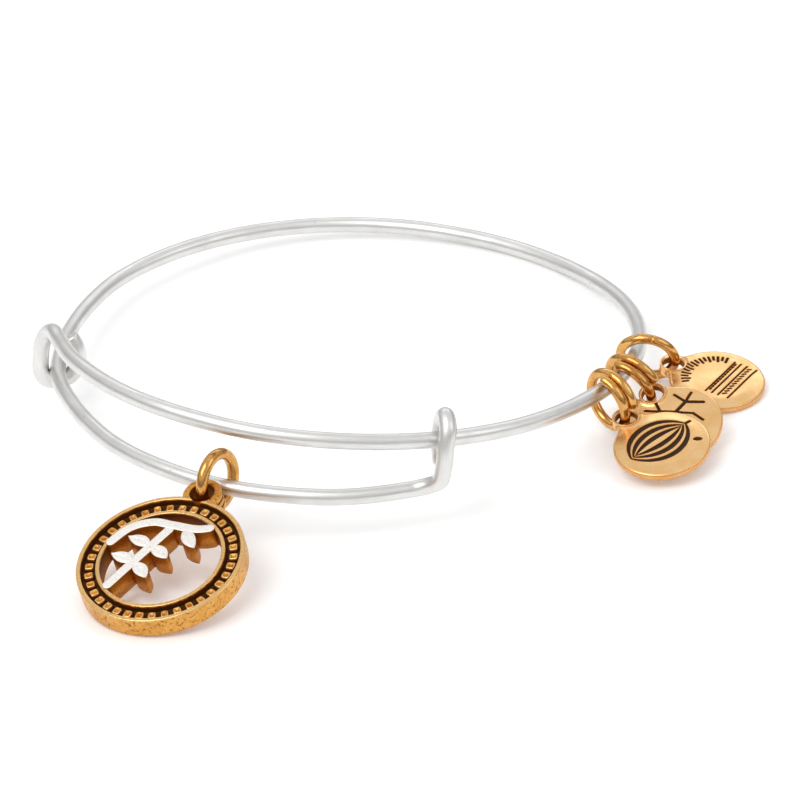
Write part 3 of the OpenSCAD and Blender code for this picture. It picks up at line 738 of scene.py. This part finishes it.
def add_ribbon(build, line, widths, top, bevel, crown, groove=0.0):
    """Flat bar along a line on the face, with bevelled edges and its own width at each point."""
    foot = SPRIG_FOOT - HALF_T
    aims = aims_of(line)
    sides = np.stack([-aims[:, 1], aims[:, 0]], axis=-1)
    section = [(-1, foot, 0), (-1, (foot + top) / 2, 0), (-1, top - bevel, 0),
               (-1, top - bevel * 0.3, bevel * 0.3), (-1, top, bevel), (-0.5, top + crown * 0.75, 0),
               (-0.12, top + crown - groove * 0.3, 0), (0, top + crown - groove, 0),
               (0.12, top + crown - groove * 0.3, 0), (0.5, top + crown * 0.75, 0), (1, top, bevel),
               (1, top - bevel * 0.3, bevel * 0.3), (1, top - bevel, 0), (1, (foot + top) / 2, 0),
               (1, foot, 0)]
    rows = []
    for place, side, w in zip(line, sides, widths):
        rows.append([(*(place + side * (share * max(w - inset, w * 0.3))), height)
                     for share, height, inset in section])
    # The sprig's walls are browned, most just under the top's bevel: antiquing and painted shade
    wall, under, in_groove = SPRIG_WALL_DARK, SPRIG_WALL_DARK + 0.25, 0.12 if groove else 0
    shade = V([wall, wall, under, 0.1, 0, 0, 0, in_groove, 0, 0, 0, 0.1, under, wall, wall])
    index = build.grid(V(rows), shade[None, :], wrap_v=True)
    # The faces of the top are the frosted ones
    top_faces, columns = range(3, 11), len(section)
    start = len(build.kind) - (len(rows) - 1) * columns
    for i in range(len(rows) - 1):
        for k in top_faces:
            build.kind[start + i * columns + k] = 1
    build.cap(index[0])
    build.cap(index[-1], flip=True)


def bar_widths(line, w):
    """Half widths that close in a round at both ends."""
    walk = walked(line)
    near = np.minimum(walk, walk[-1] - walk)
    t = np.clip(near / (w / 2), 0.02, 1)
    return w / 2 * np.sqrt(1 - (1 - t) ** 2)


# Lines of the sprig, as shares of the opening's radius
SPRIG_BRANCH = [(0.84, -0.58), (0.73, -0.3), (0.71, 0.15), (0.69, 0.48), (0.47, 0.8), (0.04, 1)]
SPRIG_STEM = [(0.68, 0.12), (-0.08, 0.36), (-0.86, 0.6)]
SPRIG_LEAVES = [[(0.2, 0.28), (0.3, 0.74)], [(0.2, 0.28), (0.02, -0.12)], [(-0.2, 0.4), (-0.12, 0.84)],
                [(-0.2, 0.4), (-0.46, 0.02)], [(0.72, -0.1), (0.34, -0.46)]]


def add_sprig(build):
    """Branch, stem and leaves across the opening."""
    for line, top in ((SPRIG_BRANCH, HALF_T + BRANCH_H), (SPRIG_STEM, HALF_T + STEM_H)):
        path = spline(V(line) * OPENING_R, SPRIG_STEP)
        path = path[np.linalg.norm(path, axis=1) < OPENING_R + INNER_LIP * 0.6]
        add_ribbon(build, path, bar_widths(path, STEM_W), top, 0.07, crown=0.015)
    for k, (root, tip) in enumerate(SPRIG_LEAVES):
        a, b = V(root) * OPENING_R, V(tip) * OPENING_R
        bow = V([-(b - a)[1], (b - a)[0]]) * (0.05 if k % 2 else -0.05)
        path = spline([a, (a + b) / 2 + bow, b], SPRIG_STEP)
        t = np.linspace(0, 1, len(path))
        widths = LEAF_W / 2 * np.maximum(0.05, np.sin(np.pi * t) ** 0.75 * (1 - 0.15 * (t - 0.5)))
        top = HALF_T + LEAF_H + LEAF_STEP * k
        add_ribbon(build, path, widths, top, 0.08, crown=0.07, groove=0.09)


charm = Build()
add_rim(charm)
add_studs(charm)
add_bail(charm)
add_sprig(charm)
c, s = math.cos(charm_tilt), math.sin(charm_tilt)
forward = turned(V([c, 0, -s]), charm_heading)
sideways = turned(V([0.0, 1, 0]), charm_heading)
upward = turned(V([s, 0, c]), charm_heading)
middle = charm_hole + forward * charm_reach
charm.object("charm_cast", "openwork_charm", [ANTIQUE, FROSTED],
             (middle, -forward, -sideways, upward))

# Tags: engraved discs with collars. A cut gives the distance from the engraving, below 0 inside it
OUTSIDE = 9.0
FACE_TURNS, FACE_RINGS, UNDER_RINGS = 420, 92, 12
FILLET_H, FACE_FALL, FACE_WAVE, WEB_SKIN = 0.11, 0.13, 0.012, 0.004
TAG_RIM_RUBBED_HIGHLIGHT, COLLAR_SHADE, COLLAR_SHADE_W = -0.6, 0.3, 0.28


def to_segment(p, a, b):
    a, b = V(a, float), V(b, float)
    along = np.clip(((p - a) @ (b - a)) / ((b - a) @ (b - a)), 0, 1)
    return np.linalg.norm(p - a - along[..., None] * (b - a), axis=-1)


def to_lens(p, long, w):
    """Signed distance to a pointed leaf that lies along X; inside it is negative."""
    bow = (long * long + w * w) / (4 * w)
    q = p.copy()
    q[..., 1] = np.abs(q[..., 1])
    return np.linalg.norm(q - V([0, w / 2 - bow]), axis=-1) - bow


def with_lines(d, p, lines, half_width):
    """Adds lines between pairs of points, given as shares of the tag's radius."""
    for a, b in lines:
        d = np.minimum(d, to_segment(p, V(a) * TAG_R, V(b) * TAG_R) - half_width * ENGRAVE_W)
    return d


def cut_leaf(p):
    """Leaf in bands, with a short stalk, and a small pointed mark."""
    q = p - V([0.08, 0.02]) * TAG_R
    q = np.stack([-q[..., 1], q[..., 0]], axis=-1)
    long, wide = 1.5 * TAG_R, 1.16 * TAG_R
    d = np.full(p.shape[:-1], OUTSIDE)
    for outer, inner, tip in ((1, 0.8, 0.96), (0.66, 0.46, 0.88), (0.32, 0.12, 0.8)):
        d = np.minimum(d, np.maximum(to_lens(q, long * (tip + 0.04), wide * outer),
                                     -to_lens(q, long * tip, wide * inner)))
    d = np.minimum(d, to_segment(q, (long / 2, 0), (long / 2 * 1.14, 0)) - 0.575 * ENGRAVE_W)
    a, b = V([-0.4, -0.5]) * TAG_R, V([-0.52, -0.66]) * TAG_R
    way = unit(b - a)
    q = p - (a + b) / 2
    q = np.stack([q @ way, q @ V([-way[1], way[0]])], axis=-1)
    return np.minimum(d, to_lens(q, np.linalg.norm(b - a), 0.11 * TAG_R))


def cut_branch(p):
    """Branching line."""
    main = [(0.42, 0.62), (0.28, 0.36), (0.42, 0.1), (0.22, -0.16), (0.34, -0.46), (0.12, -0.76)]
    twigs = [((0.28, 0.36), (-0.1, 0.5)), ((0.42, 0.1), (0.7, 0.06)), ((0.42, 0.1), (0.62, 0.34)),
             ((0.22, -0.16), (-0.24, 0)), ((-0.24, 0), (-0.5, -0.14)), ((-0.24, 0), (-0.4, 0.24)),
             ((0.34, -0.46), (0.64, -0.36)), ((0.34, -0.46), (0.5, -0.68)),
             ((0.22, -0.16), (-0.02, -0.44)), ((-0.02, -0.44), (-0.3, -0.52))]
    d = np.full(p.shape[:-1], OUTSIDE)
    d = with_lines(d, p, zip(main, main[1:]), 0.65)
    return with_lines(d, p, twigs, 0.5)


def cut_band(p):
    """Arc of ticks and two hatched bars."""
    d = np.full(p.shape[:-1], OUTSIDE)
    for k in range(16):
        way = heading(8 * k - 82)[:2] * TAG_R
        inner = 0.63 if k % 2 else 0.58
        d = np.minimum(d, to_segment(p, way * inner, way * 0.74) - 0.45 * ENGRAVE_W)
    for place, wide in ((-0.1, 0.14), (-0.42, 0.22)):
        sides = [((place + 0.06 + side * wide / 2, 0.52), (place - 0.06 + side * wide / 2, -0.68))
                 for side in (-1, 1)]
        hatches = [((place + 0.01 * k + 0.07 - 0.3 * wide, 0.1 * k - 0.02),
                    (place + 0.01 * k - 0.01 + 0.3 * wide, 0.1 * k + 0.03)) for k in range(-6, 5)]
        d = with_lines(d, p, sides, 0.3)
        d = with_lines(d, p, hatches, 0.35)
    return d


def cast_relief(points, hole_at):
    """Raises the top in a fillet around the collar and lets it fall off softly to the rim."""
    x, y, z = points[..., 0], points[..., 1], points[..., 2]
    from_collar = np.hypot(x - hole_at[0], y) - COLLAR_R
    fillet = FILLET_H * (1 - smooth_step(from_collar, -0.05, 0.5)) ** 1.5
    to_rim = smooth_step(np.hypot(x, y), TAG_R - 1.6, TAG_R - 0.05)
    fall = FACE_FALL * to_rim * smooth_step(from_collar, 0.2, 1.4)
    points[..., 2] = z + (fillet - fall) * np.clip((z - 0.3) / (TAG_T - 0.3), 0, 1)
    return points


def darkened_at_collar(shade, from_middle):
    """The surface darkens where it runs into the collar."""
    near = 1 - smooth_step(from_middle - COLLAR_R, 0.0, COLLAR_SHADE_W)
    return np.maximum(shade, COLLAR_SHADE * near)


def add_neck_webs(build, reach):
    """Fills the two corners between disc and collar, hollow outside, with the disc's rounded edge."""
    near = COLLAR_R + NECK_HOLLOW
    x = (near ** 2 - (TAG_R + NECK_HOLLOW) ** 2 + reach ** 2) / (2 * reach)
    y = math.sqrt(near ** 2 - x ** 2)
    top = TAG_T - WEB_SKIN
    depths = np.arange(TAG_EDGE + 0.04, 3, 0.01)
    slant = 0.3 * TAG_EDGE
    edge = rounded([(TAG_EDGE, WEB_SKIN, 0), (slant, slant), (0, TAG_EDGE), (0, TAG_T - TAG_EDGE),
                    (slant, TAG_T - slant), (TAG_EDGE, top, 0)], closed=False)
    # Points at the collar are drawn into its wall, just behind the flare
    in_wall = COLLAR_R - COLLAR_WALL + COLLAR_FLARE + 0.06
    for side in (1, -1):
        middle = V([reach - x, side * y])
        starts = [math.atan2(*(V(c) - middle)[::-1]) for c in ((reach, 0), (0, 0))]
        rows = []
        for t in np.linspace(*np.unwrap(starts), 28):
            way = V([math.cos(t), math.sin(t)])
            rim_point = middle + way * NECK_HOLLOW
            # From the hollow rim inward, until the ray is well inside the disc or the collar
            line = rim_point + np.outer(depths, way)
            met = ((np.hypot(*line.T) < TAG_R - TAG_EDGE - 0.1)
                   | (np.hypot(line[:, 0] - reach, line[:, 1]) < COLLAR_R - 0.12))
            deep = depths[met.argmax()]
            insets = TAG_EDGE + (deep - TAG_EDGE) * V([0.25, 0.5, 0.75, 1])
            row = [(deep, WEB_SKIN), *edge, *((inset, top) for inset in insets)]
            rows.append([(*(rim_point + way * inset), z) for inset, z in row])
        rows = V(rows)
        # Painted shade on the web's underside and side, as on the disc; its top stays almost bare
        shade = V([0.1] * 3 + [0.12] * (len(edge) - 3) + [0.04] * 5)
        flat = rows[..., :2] - V([reach, 0])
        far = np.linalg.norm(flat, axis=-1, keepdims=True)
        rows[..., :2] = V([reach, 0]) + flat / far * np.maximum(far, in_wall - 0.1 * (in_wall - far))
        shade = darkened_at_collar(shade, far[..., 0])
        index = build.grid(cast_relief(rows, (reach, 0)), shade, wrap_v=True, flip=side < 0)
        build.cap(index[0], flip=side < 0)
        build.cap(index[-1], flip=side > 0)


def add_disc(build, cut, hole_at):
    """Disc with its engraving cut in the mesh itself, which ends inside the collar's wall."""
    flat_r, slant = TAG_R - TAG_EDGE, 0.3 * TAG_EDGE
    face = level_rings(np.linspace(0.02, flat_r, FACE_RINGS), TAG_T, FACE_TURNS)
    edge = rounded([(flat_r, TAG_T, 0), (TAG_R - slant, TAG_T - slant), (TAG_R, TAG_T - TAG_EDGE),
                    (TAG_R, TAG_EDGE), (TAG_R - slant, slant), (flat_r, 0, 0)], closed=False)
    edge = dense(edge, 0.12, closed=False)[1:]
    side = lathe(edge, FACE_TURNS)
    under = level_rings(np.linspace(flat_r, 0.02, UNDER_RINGS)[1:], 0.0, FACE_TURNS)
    d = cut(face[..., :2])
    worn = FACE_WAVE * np.sin(face[..., 0] * 1.3 + 1) * np.sin(face[..., 1] * 1.1)
    face[..., 2] += worn * smooth_step(TAG_R - 0.6 - np.linalg.norm(face[..., :2], axis=-1), 0, 0.8)
    face[..., 2] -= ENGRAVE_DEEP * (1 - smooth_step(d, -0.07, 0.03))
    dark_face = 1.1 * (1 - smooth_step(d, -0.05, 0.05)) + 0.12 * (1 - smooth_step(d, 0, 0.35))
    # The rim's edge is lightened by wear and a painted highlight; the side wall and the underside get
    # painted shade
    dark_side = np.where(edge[:, 1] > TAG_T - slant, TAG_RIM_RUBBED_HIGHLIGHT, 0.2)
    shade = np.concatenate([dark_face, np.broadcast_to(dark_side[:, None], side.shape[:2]),
                            np.full(under.shape[:2], 0.1)])
    whole = np.concatenate([face, side, under])
    in_wall = COLLAR_IN + COLLAR_FLARE + 0.05
    gone = np.linalg.norm(whole[..., :2] - V(hole_at), axis=-1) < in_wall
    whole = push_out(whole, hole_at, in_wall)
    shade = darkened_at_collar(shade, np.linalg.norm(whole[..., :2] - V(hole_at), axis=-1))
    index = build.grid(cast_relief(whole, hole_at), shade, wrap_v=True, gone=gone)
    build.fan(index[0])
    build.fan(index[-1], flip=True)


def add_collar(build, hole_at):
    """Round collar, flared at both ends of its hole."""
    wide_r = COLLAR_IN + COLLAR_FLARE
    corners = [(wide_r, 0, 0.05), (COLLAR_R, 0), (COLLAR_R, COLLAR_H, 0.12), (wide_r, COLLAR_H, 0.06),
               (COLLAR_IN, COLLAR_H - COLLAR_FLARE, 0.15), (COLLAR_IN, COLLAR_FLARE, 0.15)]
    profile = dense(rounded(corners), 0.1)
    in_hole = (profile[:, 0] < COLLAR_IN + 0.03) & (profile[:, 1] < COLLAR_H - 0.25)
    shade = np.where(in_hole, 0.5, 0.05)
    points = lathe(profile, COLLAR_TURNS, hole_at)
    build.grid(points, shade[:, None], wrap_u=True, wrap_v=True, flip=True)


for name, cut in (("leaf", cut_leaf), ("branch", cut_branch), ("band", cut_band)):
    tag = TAGS[name]
    hole_at = (tag["reach"], 0)
    build = Build()
    add_disc(build, cut, hole_at)
    add_collar(build, hole_at)
    add_neck_webs(build, tag["reach"])
    middle = tag["foot"] + tag["x"] * tag["reach"]
    build.object(f"{name}_tag_struck", f"{name}_tag", [SATIN],
                 (middle, -tag["x"], -tag["y"], tag["z"]))

# Studio: pale floor, soft light from the upper front left, pale surroundings
FLOOR_SIZE, FLOOR_DROP = 3.0, 0.00002
floor_mesh = bpy.data.meshes.new("floor")
corners = ((-1, -1), (1, -1), (1, 1), (-1, 1))
floor_mesh.from_pydata([(x * FLOOR_SIZE, y * FLOOR_SIZE, 0) for x, y in corners], [], [(0, 1, 2, 3)])
floor = bpy.data.objects.new("floor", floor_mesh)
floor.location = (0, 0, -FLOOR_DROP)
bpy.context.scene.collection.objects.link(floor)
floor_white = Shader(bpy.data.materials.new("floor_white")).surface(
    grey(0.93), 0.9, 0.0, **{"Emission Color": (1, 1, 1, 1), "Emission Strength": 0.16})
floor_mesh.materials.append(floor_white)


def area_light(name, place, size, power):
    """Rectangular light that looks at the middle of the scene."""
    data = bpy.data.lights.new(name, "AREA")
    data.shape = "RECTANGLE"
    data.size, data.size_y = size
    data.energy = power
    lamp = bpy.data.objects.new(name, data)
    lamp.location = place
    lamp.rotation_euler = (-Vector(place)).to_track_quat("-Z", "Y").to_euler()
    bpy.context.scene.collection.objects.link(lamp)


area_light("key", (-0.3, -0.25, 0.6), (0.45, 0.45), 1.7)
area_light("fill", (0.5, -0.2, 0.4), (0.25, 0.4), 0.3)
area_light("back", (0.05, 0.55, 0.4), (0.7, 0.2), 0.4)

world = bpy.data.worlds.new("studio")
sky = Shader(world)
parts = sky.node("ShaderNodeSeparateXYZ")
sky.links.new(sky.coordinates("Generated"), parts.inputs[0])
tone = sky.ramp(parts.outputs["Z"], (0.0, grey(0.55)), (0.06, grey(0.32)), (0.22, grey(0.58)),
                (0.42, grey(0.9)), (1.0, grey(1.0)))
background = sky.node("ShaderNodeBackground", Strength=0.85)
sky.links.new(tone, background.inputs["Color"])
sky.links.new(background.outputs[0], sky.node("ShaderNodeOutputWorld").inputs["Surface"])
bpy.context.scene.world = world
bpy.context.scene.view_settings.view_transform = "Standard"

# Camera at the photograph's place: 590 mm from the bangle, 30 degrees above it, rolled 5 degrees
CAMERA_FAR, FOCAL_PIXELS, PHOTO_PIXELS, SENSOR_WIDTH = 0.59034, 5989, 800, 36
target = Vector((6.0, -9.58, 2.98)) * MM
back = Vector((0.0, -0.8683, 0.4961)).normalized()
up = Vector((0.0867, 0.4942, 0.8650))
right = up.cross(back).normalized()
up = back.cross(right)
camera_data = bpy.data.cameras.new("camera")
camera_data.sensor_width = SENSOR_WIDTH
camera_data.lens = FOCAL_PIXELS / PHOTO_PIXELS * SENSOR_WIDTH
camera_data.clip_start, camera_data.clip_end = 0.01, 20
camera = bpy.data.objects.new("camera", camera_data)
turn = Matrix((right, up, back)).transposed().to_4x4()
camera.matrix_world = Matrix.Translation(target + back * CAMERA_FAR) @ turn
bpy.context.scene.collection.objects.link(camera)
bpy.context.scene.camera = camera
